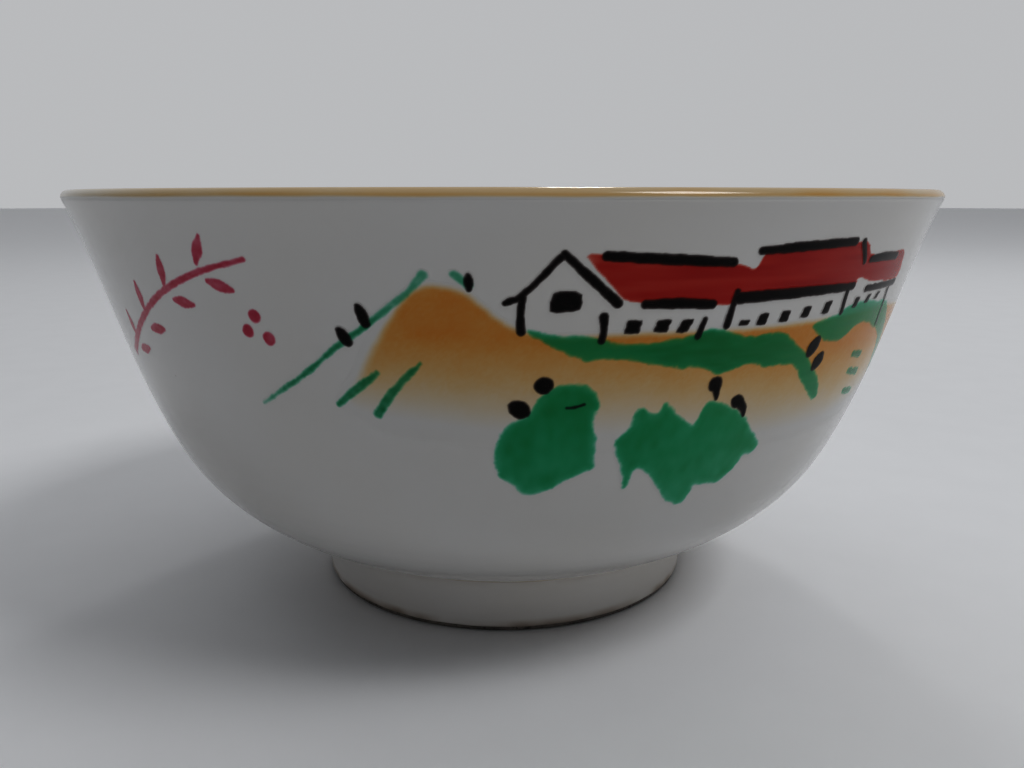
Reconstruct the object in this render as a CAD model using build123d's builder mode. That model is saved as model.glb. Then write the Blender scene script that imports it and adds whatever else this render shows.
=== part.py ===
from build123d import *
import math
import os

# A footed rice bowl of glazed stoneware with a painted landscape on its front.
# Millimetres, +Z up, origin in the middle of the foot where it stands, the painting faces -Y.
# A point on the painted wall is given as (angle, height): degrees round from the front, positive
# towards +X, and millimetres above the table.

# ------------------------------------------------------------------ driving dimensions
mouth_radius = 75.0        # widest point of the lip
bowl_height = 72.2         # table to the top of the lip
lip_lean = 65.0            # slope of the wall where it runs into the lip, degrees
lip_thickness = 2.5        # across the rolled lip with its coats

foot_radius = 35.0         # outside of the glazed foot
foot_height = 9.8          # table to the underside of the clay base
foot_wall = 4.5            # clay thickness of the foot ring at its top
foot_taper = 0.7           # how much the ring's inside opens out towards the table
foot_bevel = 0.6           # turned edges of the bare standing face

floor_height = 14.0        # table to the glazed floor inside the bowl
glaze = 0.3                # thickness of each glaze coat
enamel = 0.12              # thickness of the lip line and the painted colours
glaze_stop = 0.9           # height at which the glaze ends above the standing face

seam_height = 0.9          # height of the slip bead on the foot
seam_run = (36.51, 10.02)  # where the bead meets the glazed belly, as (radius, height)
belly_slope = 22.0         # slope of the belly at that place, degrees

# Finished outside of the wall between the bead and the lip, as (radius, height).
belly = [
    (42.3, 12.5), (50.4, 17.6), (57.9, 25.5), (62.8, 34.9),
    (66.6, 45.2), (69.8, 55.8), (72.4, 64.2),
]

# Finished inside of the wall between the lip and the floor, as (radius, height).
hollow = [
    (70.3, 65.6), (67.3, 56.6), (63.8, 46.1), (59.9, 36.2),
    (55.0, 27.5), (47.8, 20.6), (38.0, 16.1), (22.0, 14.3),
]

# ------------------------------------------------------------------ sections round the axis
lip_radius = lip_thickness / 2
lip_middle = (mouth_radius - lip_radius, bowl_height - lip_radius)
clay_foot_radius = foot_radius - glaze
seam_bottom = foot_height - seam_height


def around_lip(radius, angle):
    """Point at a distance from the middle of the rolled lip, angle measured up from outwards."""
    turn = math.radians(angle)
    return lip_middle[0] + radius * math.cos(turn), lip_middle[1] + radius * math.sin(turn)


def direction(angle):
    """Unit vector in the (radius, height) plane."""
    return math.cos(math.radians(angle)), math.sin(math.radians(angle))


def sunk_points(points, first, last, depth):
    """Moves a row of points into the clay, which lies on the left of the way they run."""
    moved = []
    for index, (radius, height) in enumerate(points):
        before = points[max(index - 1, 0)]
        after = points[min(index + 1, len(points) - 1)]
        along = (after[0] - before[0], after[1] - before[1])
        if index == 0:
            along = first
        if index == len(points) - 1:
            along = last
        length = math.hypot(*along)
        moved.append((radius - depth * along[1] / length, height + depth * along[0] / length))
    return moved


glazed_lip = lip_radius - enamel
clay_lip = glazed_lip - glaze
outside_points = [seam_run] + belly + [around_lip(glazed_lip, lip_lean - 90)]
inside_points = [around_lip(glazed_lip, lip_lean + 90)] + hollow + [(0, floor_height)]


def outside_curve(depth):
    """Outside of the wall, some depth under the finished glaze, from the bead up to the lip."""
    first, last = direction(belly_slope), direction(lip_lean)
    return Spline(*sunk_points(outside_points, first, last, depth), tangents=[first, last])


def inside_curve(depth):
    """Inside of the bowl, some depth under the finished glaze, from the lip down to the axis."""
    first, last = direction(lip_lean + 180), direction(180)
    return Spline(*sunk_points(inside_points, first, last, depth), tangents=[first, last])


def lip_arc(radius, start, end):
    """Part of the rolled lip, between two angles."""
    middle = (start + end) / 2
    return ThreePointArc(around_lip(radius, start), around_lip(radius, middle), around_lip(radius, end))


clay_seam_run = sunk_points(outside_points, direction(belly_slope), direction(lip_lean), glaze)[0]

# ------------------------------------------------------------------ clay
with BuildPart() as bowl_body:
    with BuildSketch(Plane.XZ):
        with BuildLine():
            outside_curve(glaze)
            lip_arc(clay_lip, lip_lean - 90, lip_lean + 90)
            inside_curve(glaze)
            Polyline(
                (0, floor_height - glaze),
                (0, foot_height),
                (clay_foot_radius, foot_height),
                clay_seam_run,
            )
        make_face()
    revolve(axis=Axis.Z)

ring_inside_top = clay_foot_radius - foot_wall
ring_inside_bottom = ring_inside_top + foot_taper
with BuildPart() as foot_ring:
    with BuildSketch(Plane.XZ):
        with BuildLine():
            Polyline(
                (ring_inside_top, foot_height),
                (clay_foot_radius, foot_height),
                (clay_foot_radius, foot_bevel),
                (clay_foot_radius - foot_bevel, 0),
                (ring_inside_bottom + foot_bevel, 0),
                (ring_inside_bottom, foot_bevel),
                close=True,
            )
        make_face()
    revolve(axis=Axis.Z)

# Bead of slip that joins the ring to the belly: a hollow fillet in the corner between them.
with BuildPart() as foot_seam:
    with BuildSketch(Plane.XZ):
        with BuildLine():
            corner = seam_run[1] - (seam_run[0] - foot_radius) * math.tan(math.radians(belly_slope))
            Bezier((foot_radius, seam_bottom), (foot_radius, corner), seam_run)
            Polyline(
                seam_run,
                clay_seam_run,
                (clay_foot_radius, foot_height),
                (clay_foot_radius, seam_bottom),
                (foot_radius, seam_bottom),
            )
        make_face()
    revolve(axis=Axis.Z)

# ------------------------------------------------------------------ glaze
crest = 90
with BuildPart() as outer_glaze:
    with BuildSketch(Plane.XZ):
        with BuildLine():
            outside_curve(0)
            lip_arc(glazed_lip, lip_lean - 90, crest)
            Line(around_lip(glazed_lip, crest), around_lip(clay_lip, crest))
            lip_arc(clay_lip, lip_lean - 90, crest)
            outside_curve(glaze)
            Line(clay_seam_run, seam_run)
        make_face()
    revolve(axis=Axis.Z)

with BuildPart() as inner_glaze:
    with BuildSketch(Plane.XZ):
        with BuildLine():
            inside_curve(0)
            lip_arc(glazed_lip, crest, lip_lean + 90)
            Line(around_lip(glazed_lip, crest), around_lip(clay_lip, crest))
            lip_arc(clay_lip, crest, lip_lean + 90)
            inside_curve(glaze)
            Line((0, floor_height), (0, floor_height - glaze))
        make_face()
    revolve(axis=Axis.Z)

with BuildPart() as foot_glaze:
    with BuildSketch(Plane.XZ):
        with BuildLine():
            Polyline(
                (clay_foot_radius, seam_bottom),
                (foot_radius, seam_bottom),
                (foot_radius, glaze_stop + glaze),
                (clay_foot_radius, glaze_stop),
                close=True,
            )
        make_face()
    revolve(axis=Axis.Z)


def ring_inside(height):
    """Radius of the clay inside the foot ring at a height."""
    share = (foot_height - height) / (foot_height - foot_bevel)
    return ring_inside_top + foot_taper * share


recess_top = foot_height - glaze
with BuildPart() as base_glaze:
    with BuildSketch(Plane.XZ):
        with BuildLine():
            Polyline(
                (0, foot_height),
                (ring_inside_top, foot_height),
                (ring_inside(glaze_stop), glaze_stop),
                (ring_inside(glaze_stop + glaze) - glaze, glaze_stop + glaze),
                (ring_inside(recess_top) - glaze, recess_top),
                (0, recess_top),
                close=True,
            )
        make_face()
    revolve(axis=Axis.Z)

# ------------------------------------------------------------------ lip line
line_outside = 0           # where the line ends outside, degrees up from outwards
line_inside = lip_lean + 90
line_steps = 8             # spans of the curves that follow the lip's roundness


def lip_curve(radius):
    """Smooth curve round the lip from one end of the line to the other."""
    span = (line_inside - line_outside) / line_steps
    points = [around_lip(radius, line_outside + step * span) for step in range(line_steps + 1)]
    return Spline(*points, tangents=[direction(line_outside + 90), direction(line_inside + 90)])


with BuildPart() as lip_line:
    with BuildSketch(Plane.XZ):
        with BuildLine():
            lip_curve(lip_radius)
            lip_curve(glazed_lip)
            for angle in (line_outside, line_inside):
                Line(around_lip(glazed_lip, angle), around_lip(lip_radius, angle))
        make_face()
    revolve(axis=Axis.Z)

# ------------------------------------------------------------------ painted colours
# Every colour is cut out of one thin film that lies on the outer glaze, its seam at the back.
with BuildPart() as film:
    with BuildSketch(Plane.YZ):
        with BuildLine():
            outside_curve(0)
            outside_curve(-enamel)
            sunk = sunk_points(outside_points, direction(belly_slope), direction(lip_lean), -enamel)
            Line(outside_points[0], sunk[0])
            Line(outside_points[-1], sunk[-1])
        make_face()
    revolve(axis=Axis.Z)


def wall_radius(height):
    """Radius of the finished outside at a height, straight between the belly's points."""
    for low, high in zip(outside_points, outside_points[1:]):
        if low[1] <= height <= high[1]:
            share = (height - low[1]) / (high[1] - low[1])
            return low[0] + share * (high[0] - low[0])
    raise ValueError("height is off the wall")


def easel(facing):
    """Upright plane through the axis that faces out at an angle round from the front."""
    turn = math.radians(facing)
    out = (math.sin(turn), -math.cos(turn), 0)
    right = (math.cos(turn), math.sin(turn), 0)
    return Plane(origin=(0, 0, 0), x_dir=right, z_dir=out)


def on_easel(facing, point):
    """Where a point of the wall falls on that plane, seen square on."""
    angle, height = point
    return wall_radius(height) * math.sin(math.radians(angle - facing)), height


hill_outline = [
    (-17.5, 46.5), (-15, 51), (-12.5, 55.5), (-10, 59.2), (-7.5, 61.3), (-4.5, 61.1), (-2, 59),
    (1, 56.6), (5, 55.1), (14, 55.6), (26, 55.5), (36, 55.6), (46, 56), (56, 55.5), (68, 54),
    (82, 50), (88, 46), (80, 42), (60, 41), (40, 41), (18, 43), (-2, 43.5), (-12, 44),
]
bank_outline = [
    (2.4, 56.1), (6, 55.5), (8.5, 55.3), (12, 54.2), (16, 54.3), (21, 56), (25.5, 54.3),
    (30, 54.3), (33.5, 52.3), (37, 49.4), (40.5, 45.6), (41, 43.8), (39, 44.8), (36, 47.5),
    (33, 49.9), (29.5, 50), (26.5, 50.7), (23, 49.7), (19, 51), (14, 51.9), (8.2, 52.4), (5, 54),
]
far_bank_outline = [
    (35.3, 54.8), (39.5, 56.1), (44, 57.2), (49, 56.7), (55, 56), (60, 52), (63, 46), (61, 43.5),
    (57.5, 49), (53, 52.6), (48.5, 54), (44.5, 53.8), (41.5, 52.2), (37.5, 52.8),
]
left_bush_outline = [
    (4, 48.3), (7, 49.4), (9.4, 47.8), (9.3, 44.5), (9.9, 40.5), (9.8, 37.6), (6.6, 35.6),
    (3.5, 34.1), (1.7, 34.4), (-0.4, 36.6), (-1, 40), (0.2, 43.6), (2.8, 45.8),
]
right_bush_outline = [
    (12.2, 41.3), (13.6, 43.3), (14.7, 45.8), (16.3, 44.8), (17.3, 46.2), (19, 44.4),
    (21.2, 42.7), (23, 46), (26, 44.6), (29, 42.4), (32.5, 38.2), (30.4, 36.4), (28.4, 33.3),
    (24.4, 33.2), (22.8, 30.4), (20, 32), (17.6, 35.6), (15.6, 37), (14.3, 34.2), (13.2, 38),
]
roof_outline = [
    (7.2, 64.7), (9, 64.9), (22, 63.5), (24.4, 63), (25, 65.1), (38, 65.4), (40.2, 65),
    (41.3, 63.8), (50.8, 63.9), (52.5, 60), (43.5, 60.2), (40.4, 60.4), (40, 59.8), (23.4, 59.4),
    (22.4, 58.7), (17, 59), (11, 59.8),
]


# Strokes are (width, points) with round ends. Dabs are single oval touches of the brush, as
# (place, length, width, slant in degrees).
grass_strokes = [
    (0.5, [(-27, 45.6), (-20.5, 50.4), (-13.5, 56.4), (-8.6, 60.8), (-7.3, 62.5)]),
    (0.7, [(-4.6, 62.6), (-3.7, 61.9)]),
    (0.8, [(-17.3, 46.6), (-13.3, 50.3)]),
    (0.8, [(-13, 45.7), (-8.7, 51.6)]),
    (0.9, [(47.5, 49.2), (49.5, 48.8)]),
    (0.9, [(48, 46.4), (51.5, 45.7)]),
    (0.8, [(50, 43), (53, 42.5)]),
]
ridges_and_eaves = [
    (1.05, [(9.1, 64.7), (21.4, 63.8)]),
    (1.1, [(13.4, 59.2), (20.1, 58.9)]),
    (1.0, [(24.6, 65.1), (37.1, 65.6)]),
    (1.2, [(23.4, 59.4), (39.8, 59.7)]),
    (0.9, [(42, 63.3), (48.5, 63.4)]),
    (0.8, [(43.8, 59.1), (52, 59.2)]),
]
gable_and_posts = [
    (0.6, [(0.3, 59.6), (1.8, 60.3), (5.2, 64.9)]),
    (1.0, [(5.4, 64.9), (10.3, 59.5)]),
    (0.9, [(1.6, 60.2), (1.5, 56.3)]),
    (0.8, [(9.4, 57.5), (9.3, 55)]),
    (0.7, [(19.6, 56.6), (19.3, 55)]),
    (0.9, [(22.6, 58), (22.4, 56.3)]),
    (0.8, [(39.3, 58.2), (39.5, 56.5)]),
    (0.8, [(38.9, 65.4), (40.3, 63.1)]),
]
gable_window = [(4.4, 58.6), (6.8, 58.6), (6.9, 60.5), (5.5, 60.8), (4.4, 60.4)]
window_places = [
    (12.3, 56.4), (15.3, 56.3), (17.6, 56.2),
    (26.9, 56.4), (29.9, 56.4), (33, 56.7), (36.4, 57.1),
]
window_dabs = [(place, 1.3, 1.3, 0) for place in window_places]
window_dabs += [((24.5, 56.3), 1.3, 0.8, 0), ((42.3, 57.4), 0.8, 0.9, 0)]
mark_dabs = [
    ((3.9, 49.3), 2.1, 2.05, 0),
    ((1.5, 46.2), 2.7, 2.3, -30),
    ((23.2, 47.7), 2.4, 2.1, -35),
    ((26.8, 45.2), 3.6, 1.6, -42),
    ((-13.9, 57.9), 2.9, 1.3, 80),
    ((-16, 55.2), 2.2, 1.3, -70),
    ((-3.2, 61.9), 2.1, 0.8, 90),
    ((36.4, 51.8), 3.0, 1.8, 70),
    ((38.4, 49.5), 2.6, 1.7, 60),
]
sprig_stem = [(0.8, [(-55, 48.5), (-48, 53.5), (-40, 58.5), (-32, 62), (-25, 64)])]
leaf_length = 4.6
leaf_width = 1.3
berry = 1.5
leaves = [
    ((-51, 53.2), 95), ((-49.5, 49.8), 10), ((-44.5, 58), 85), ((-43, 53.6), 5),
    ((-37.5, 62), 75), ((-35.5, 58), -5), ((-30.5, 65), 60), ((-29, 60.6), -15),
]
berries = [(-27, 55), (-24.5, 54.2), (-25.6, 57)]
sprig_dabs = [(place, leaf_length, leaf_width, slant) for place, slant in leaves]
sprig_dabs += [(place, berry, berry, 0) for place in berries]


def stencil(facing, shapes=(), panels=(), strokes=(), dabs=()):
    """Prism that a colour's outlines sweep out from the axis: everything the colour covers."""
    with BuildPart() as prism:
        with BuildSketch(easel(facing)):
            for outline in shapes:
                with BuildLine():
                    Spline(*[on_easel(facing, point) for point in outline], periodic=True)
                make_face()
            for outline in panels:
                with BuildLine():
                    Polyline(*[on_easel(facing, point) for point in outline], close=True)
                make_face()
            for width, points in strokes:
                flat = [on_easel(facing, point) for point in points]
                for (x1, y1), (x2, y2) in zip(flat, flat[1:]):
                    slant = math.degrees(math.atan2(y2 - y1, x2 - x1))
                    with Locations(((x1 + x2) / 2, (y1 + y2) / 2)):
                        SlotCenterToCenter(math.hypot(x2 - x1, y2 - y1), width, rotation=slant)
            for place, length, width, slant in dabs:
                with Locations(on_easel(facing, place)):
                    Ellipse(length / 2, width / 2, rotation=slant)
        extrude(amount=mouth_radius)
    return prism.part


# Colours in the order they are laid on: a later one takes the place of what is under it.
stencils = {
    "hill_wash": stencil(35, shapes=[hill_outline]),
    "grass_bank": stencil(32, shapes=[bank_outline, far_bank_outline]),
    "left_bush": stencil(4, shapes=[left_bush_outline]),
    "right_bush": stencil(22, shapes=[right_bush_outline]),
    "roofs": stencil(30, panels=[roof_outline]),
    "grass_strokes": stencil(10, strokes=grass_strokes),
    "roof_strokes": stencil(30, strokes=ridges_and_eaves),
    "house_lines": stencil(20, strokes=gable_and_posts),
    "windows": stencil(22, panels=[gable_window], dabs=window_dabs),
    "dark_marks": stencil(12, dabs=mark_dabs),
    "red_sprig": stencil(-40, strokes=sprig_stem, dabs=sprig_dabs),
}
colours = {}
for number, name in enumerate(stencils):
    with BuildPart() as colour:
        add(film.part)
        add(stencils[name], mode=Mode.INTERSECT)
        for later in list(stencils.values())[number + 1:]:
            add(later, mode=Mode.SUBTRACT)
    colours[name] = colour.part

# ------------------------------------------------------------------ files
pieces = {
    "bowl_body": bowl_body.part,
    "foot_ring": foot_ring.part,
    "foot_seam": foot_seam.part,
    "outer_glaze": outer_glaze.part,
    "inner_glaze": inner_glaze.part,
    "foot_glaze": foot_glaze.part,
    "base_glaze": base_glaze.part,
    "lip_line": lip_line.part,
    **colours,
}
os.makedirs("parts", exist_ok=True)
for name, piece in pieces.items():
    piece.label = name
    export_step(piece, "parts/" + name + ".step")
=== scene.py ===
import bpy
import bmesh
import math
import numpy as np
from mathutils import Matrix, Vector


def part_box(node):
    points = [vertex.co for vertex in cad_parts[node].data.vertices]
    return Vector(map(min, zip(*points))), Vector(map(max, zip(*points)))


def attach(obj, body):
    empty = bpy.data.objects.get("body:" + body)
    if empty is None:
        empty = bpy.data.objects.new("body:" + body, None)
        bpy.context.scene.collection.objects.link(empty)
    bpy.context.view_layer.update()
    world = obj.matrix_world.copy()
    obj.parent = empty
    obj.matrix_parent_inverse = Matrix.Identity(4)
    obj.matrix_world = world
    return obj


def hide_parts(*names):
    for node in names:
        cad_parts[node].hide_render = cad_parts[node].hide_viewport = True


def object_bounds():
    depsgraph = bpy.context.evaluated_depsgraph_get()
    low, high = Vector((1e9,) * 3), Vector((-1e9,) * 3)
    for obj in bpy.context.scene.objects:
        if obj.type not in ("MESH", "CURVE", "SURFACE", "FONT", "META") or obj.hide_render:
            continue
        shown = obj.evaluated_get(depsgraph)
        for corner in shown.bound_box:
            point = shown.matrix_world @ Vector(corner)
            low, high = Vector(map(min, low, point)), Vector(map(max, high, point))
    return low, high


# A footed rice bowl with a painted landscape. Metres, +Z up, the painting faces -Y.
# A place on the painted wall is (angle, height): degrees round from the front, positive towards
# +X, and millimetres above the table, the same measures as in the CAD model.

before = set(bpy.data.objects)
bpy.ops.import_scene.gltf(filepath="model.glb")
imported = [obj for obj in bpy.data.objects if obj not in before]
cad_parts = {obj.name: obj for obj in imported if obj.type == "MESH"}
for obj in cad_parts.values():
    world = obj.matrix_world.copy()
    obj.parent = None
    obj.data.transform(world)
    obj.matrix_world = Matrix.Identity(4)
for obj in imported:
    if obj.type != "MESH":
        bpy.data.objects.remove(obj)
cad_low, cad_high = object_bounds()

MM = 0.001
TURN = 2 * math.pi
rng = np.random.default_rng(7)

# ---------------------------------------------------------------- the bowl's section, millimetres
lip_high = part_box("lip_line")[1]
foot_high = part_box("foot_ring")[1]
mouth_radius = lip_high[0] / MM
bowl_height = lip_high[2] / MM
foot_height = foot_high[2] / MM
foot_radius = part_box("foot_glaze")[1][0] / MM
lip_radius = 1.25
lip_lean = 65.0
glaze = 0.3
line_thick = 0.12
lip_middle = (mouth_radius - lip_radius, bowl_height - lip_radius)
glazed_lip = lip_radius - line_thick
belly_slope = 22.0
seam_run = (36.51, 10.02)
seam_bottom = 8.9
glaze_stop = 0.9

# Points of the outside and inside curves, (radius, height), between the seam, the lip and the floor.
belly = [
    (42.3, 12.5), (50.4, 17.6), (57.9, 25.5), (62.8, 34.9), (66.6, 45.2), (69.8, 55.8), (72.4, 64.2),
]
hollow = [
    (70.3, 65.6), (67.3, 56.6), (63.8, 46.1), (59.9, 36.2), (55.0, 27.5), (47.8, 20.6), (38.0, 16.1),
    (22.0, 14.3),
]
floor_height = 14.0
curve_points = 110


def unit(angle):
    return np.array([math.cos(math.radians(angle)), math.sin(math.radians(angle))])


def around_lip(radius, angles):
    """Points at a distance from the middle of the rolled lip, angles measured up from outwards."""
    turn = np.radians(np.atleast_1d(angles))
    return np.column_stack([lip_middle[0] + radius * np.cos(turn), lip_middle[1] + radius * np.sin(turn)])


def smooth_curve(points, first, last, count):
    """Even points along the clamped cubic curve that passes through some points, as in the CAD."""
    p = np.array(points, float)
    t = np.concatenate([[0], np.cumsum(np.linalg.norm(np.diff(p, axis=0), axis=1))])
    n = len(p)
    a = np.zeros((n, n))
    b = np.zeros((n, 2))
    a[0, 0] = a[-1, -1] = 1
    b[0], b[-1] = first, last
    for i in range(1, n - 1):
        h0, h1 = t[i] - t[i - 1], t[i + 1] - t[i]
        a[i, i - 1], a[i, i], a[i, i + 1] = h1, 2 * (h0 + h1), h0
        b[i] = 3 * (h1 * (p[i] - p[i - 1]) / h0 + h0 * (p[i + 1] - p[i]) / h1)
    slope = np.linalg.solve(a, b)
    where = np.linspace(0, t[-1], count)
    i = np.clip(np.searchsorted(t, where, side="right") - 1, 0, n - 2)
    h = (t[i + 1] - t[i])[:, None]
    u = ((where - t[i])[:, None]) / h
    return (
        (2 * u**3 - 3 * u**2 + 1) * p[i]
        + (u**3 - 2 * u**2 + u) * h * slope[i]
        + (3 * u**2 - 2 * u**3) * p[i + 1]
        + (u**3 - u**2) * h * slope[i + 1]
    )


outside = smooth_curve(
    [seam_run] + belly + [around_lip(glazed_lip, lip_lean - 90)[0]],
    unit(belly_slope), unit(lip_lean), curve_points,
)
inside = smooth_curve(
    [around_lip(glazed_lip, lip_lean + 90)[0]] + hollow + [(0, floor_height)],
    unit(lip_lean + 180), unit(180), curve_points,
)


def sunk(curve, depth):
    """The same curve moved into the clay, which lies on the left of the way it runs."""
    along = np.gradient(curve, axis=0)
    along /= np.linalg.norm(along, axis=1)[:, None]
    return curve + depth * np.column_stack([-along[:, 1], along[:, 0]])


def wall_radius(height):
    """Radius of the glazed outside at a height."""
    return np.interp(height, outside[:, 1], outside[:, 0])


def wall_normal(height):
    """Outward unit vector of the wall in (radius, height)."""
    rise = 0.5
    dr = wall_radius(height + rise) - wall_radius(height - rise)
    length = np.hypot(dr, 2 * rise)
    return 2 * rise / length, -dr / length


# ---------------------------------------------------------------- hand-made unevenness
def waves(seed, low, high, count=7):
    """A smooth closed wobble round the bowl: (whole number, shift, size) of each wave."""
    r = np.random.default_rng(seed)
    numbers = r.integers(low, high + 1, count)
    return [(n, r.uniform(0, TURN), r.uniform(0.4, 1.0) / count) for n in numbers]


def wobble(wave_set, turn):
    """The wobble's value at an angle in radians, between about -1 and 1."""
    return sum(size * np.sin(n * turn + shift) for n, shift, size in wave_set)


lattice = rng.random((256, 256))


def cloud(x, y, seed=0):
    """Smooth random field between -1 and 1 that changes over about one unit."""
    x, y = np.asarray(x, float) + 17.3 * seed + 400, np.asarray(y, float) + 9.1 * seed + 400
    xi, yi = np.floor(x).astype(int), np.floor(y).astype(int)
    fx, fy = x - xi, y - yi
    fx, fy = fx * fx * (3 - 2 * fx), fy * fy * (3 - 2 * fy)
    a, b = lattice[xi % 256, yi % 256], lattice[(xi + 1) % 256, yi % 256]
    c, d = lattice[xi % 256, (yi + 1) % 256], lattice[(xi + 1) % 256, (yi + 1) % 256]
    return 2 * ((a * (1 - fx) + b * fx) * (1 - fy) + (c * (1 - fx) + d * fx) * fy) - 1


body_waves = waves(3, 2, 9)
fine_waves = waves(4, 11, 31, 9)


def wall_wobble(turn, height):
    """Tiny unevenness of the wall in millimetres: jiggering rings and a slow ripple round it."""
    slow = 0.05 * wobble(body_waves, turn + 0.012 * height)
    fine = 0.02 * wobble(fine_waves, turn - 0.03 * height)
    rings = 0.008 * np.sin(height * 1.7) + 0.006 * np.sin(height * 3.1 + 1)
    return slow + fine + rings


# ---------------------------------------------------------------- mesh helpers
def new_object(name, points, faces):
    """Smooth-shaded mesh object in the scene."""
    mesh = bpy.data.meshes.new(name)
    mesh.from_pydata([tuple(p) for p in points], [], [tuple(f) for f in faces])
    mesh.validate()
    mesh.update()
    mesh.polygons.foreach_set("use_smooth", [True] * len(mesh.polygons))
    thing = bpy.data.objects.new(name, mesh)
    bpy.context.scene.collection.objects.link(thing)
    return thing


def lathe(name, section, steps, shift=None):
    """Closed solid of revolution. section is a closed loop of (radius, height) in millimetres,
    shift(turn, loop) may move the loop's points at each angle."""
    section = np.asarray(section, float)
    count = len(section)
    rings = []
    for k in range(steps):
        turn = TURN * k / steps
        loop = section if shift is None else shift(turn, section.copy())
        radius, height = loop[:, 0], loop[:, 1]
        rings.append(np.column_stack([radius * math.sin(turn), -radius * math.cos(turn), height]))
    points = np.concatenate(rings) * MM
    faces = []
    for k in range(steps):
        here, there = k * count, ((k + 1) % steps) * count
        for i in range(count):
            j = (i + 1) % count
            faces.append((here + i, there + i, there + j, here + j))
    thing = new_object(name, points, faces)
    tidy_mesh(thing.data)
    return thing


def tidy_mesh(mesh):
    """Welds the points that meet on the axis and points every face outwards."""
    bm = bmesh.new()
    bm.from_mesh(mesh)
    bmesh.ops.remove_doubles(bm, verts=bm.verts, dist=1e-7)
    bmesh.ops.dissolve_degenerate(bm, dist=1e-7, edges=bm.edges)
    bmesh.ops.recalc_face_normals(bm, faces=bm.faces)
    bm.to_mesh(mesh)
    bm.free()


def sharpen(thing, degrees):
    """Keeps edges crisp where the surface turns by more than an angle."""
    bm = bmesh.new()
    bm.from_mesh(thing.data)
    limit = math.radians(degrees)
    for edge in bm.edges:
        if len(edge.link_faces) == 2 and edge.calc_face_angle(0) > limit:
            edge.smooth = False
    bm.to_mesh(thing.data)
    bm.free()


def store_tint(mesh, tints):
    """Stores a filter colour for each point of a mesh."""
    colours = np.ones((len(mesh.vertices), 4))
    colours[:, :3] = tints
    layer = mesh.color_attributes.new("tint", "FLOAT_COLOR", "POINT")
    layer.data.foreach_set("color", colours.ravel())


def finish_piece(thing, node, material):
    """Hangs a piece on the bowl in place of its CAD node."""
    thing.data.materials.clear()
    thing.data.materials.append(material)
    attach(thing, "root")
    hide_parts(node)
    return thing


# ---------------------------------------------------------------- materials
class Nodes:
    """Short hand for building one material's node tree."""

    def __init__(self, name):
        self.material = bpy.data.materials.new(name)
        self.material.use_nodes = True
        self.tree = self.material.node_tree
        self.tree.nodes.clear()
        self.shader = self.add("ShaderNodeBsdfPrincipled")
        output = self.add("ShaderNodeOutputMaterial")
        self.join(self.shader.outputs["BSDF"], output.inputs["Surface"])
        self.place = self.add("ShaderNodeTexCoord").outputs["Object"]

    def add(self, kind, **settings):
        node = self.tree.nodes.new(kind)
        for key, value in settings.items():
            setattr(node, key, value)
        return node

    def join(self, out, into):
        self.tree.links.new(out, into)

    def noise(self, size, detail):
        """Noise whose blotches are about size metres across, between 0 and 1."""
        mapping = self.add("ShaderNodeMapping")
        mapping.inputs["Scale"].default_value = [1 / size] * 3
        self.join(self.place, mapping.inputs["Vector"])
        noise = self.add("ShaderNodeTexNoise")
        noise.inputs["Scale"].default_value = 1
        noise.inputs["Detail"].default_value = detail
        self.join(mapping.outputs[0], noise.inputs["Vector"])
        return noise.outputs["Fac"]

    def span(self, value, low, high, to_low=0.0, to_high=1.0):
        """Maps low..high to to_low..to_high, clamped."""
        node = self.add("ShaderNodeMapRange")
        node.inputs["From Min"].default_value = low
        node.inputs["From Max"].default_value = high
        node.inputs["To Min"].default_value = to_low
        node.inputs["To Max"].default_value = to_high
        self.join(value, node.inputs["Value"])
        return node.outputs["Result"]

    def math(self, operation, a, b):
        """One arithmetic step on two numbers or sockets."""
        node = self.add("ShaderNodeMath", operation=operation)
        for socket, value in zip(node.inputs, (a, b)):
            if isinstance(value, (int, float)):
                socket.default_value = value
            else:
                self.join(value, socket)
        return node.outputs[0]

    def mix(self, share, a, b, blend="MIX"):
        """Colour a blended with colour b by a share; each may be a value or a socket."""
        node = self.add("ShaderNodeMix", data_type="RGBA", blend_type=blend)
        factor, first, second = node.inputs["Factor"], node.inputs[6], node.inputs[7]
        for socket, value in ((factor, share), (first, a), (second, b)):
            if isinstance(value, (int, float)):
                socket.default_value = value
            elif isinstance(value, tuple):
                socket.default_value = (*value, 1)
            else:
                self.join(value, socket)
        return node.outputs[2]

    def bump(self, height, strength, distance):
        node = self.add("ShaderNodeBump")
        node.inputs["Strength"].default_value = strength
        node.inputs["Distance"].default_value = distance
        self.join(height, node.inputs["Height"])
        self.join(node.outputs["Normal"], self.shader.inputs["Normal"])


# Outside white darkened as painted shade; the inside's copy of the same glaze is left lighter.
SHADED_WHITE = (0.60, 0.595, 0.585)
SHADED_WARM = (0.59, 0.58, 0.56)
INNER_WHITE = (0.69, 0.685, 0.67)
INNER_WARM = (0.675, 0.665, 0.64)
SPECK = (0.20, 0.16, 0.12)
SPECK_SPACING = 0.0075


def glaze_colour(n, white=SHADED_WHITE, warm=SHADED_WARM):
    """White glaze: faint cloudiness and a few pin-head iron specks."""
    clouds = n.span(n.noise(0.022, 2), 0.35, 0.7)
    white = n.mix(clouds, white, warm)
    cells = n.add("ShaderNodeTexVoronoi")
    cells.inputs["Scale"].default_value = 1 / SPECK_SPACING
    n.join(n.place, cells.inputs["Vector"])
    apart = n.add("ShaderNodeSeparateColor")
    n.join(cells.outputs["Color"], apart.inputs[0])
    near = n.span(cells.outputs["Distance"], 0.012, 0.028, 1, 0)
    chosen = n.span(apart.outputs[0], 0.74, 0.76)
    weight = n.span(apart.outputs[1], 0, 1, 0.15, 0.75)
    amount = n.math("MULTIPLY", n.math("MULTIPLY", near, chosen), weight)
    return n.mix(amount, white, SPECK)


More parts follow.
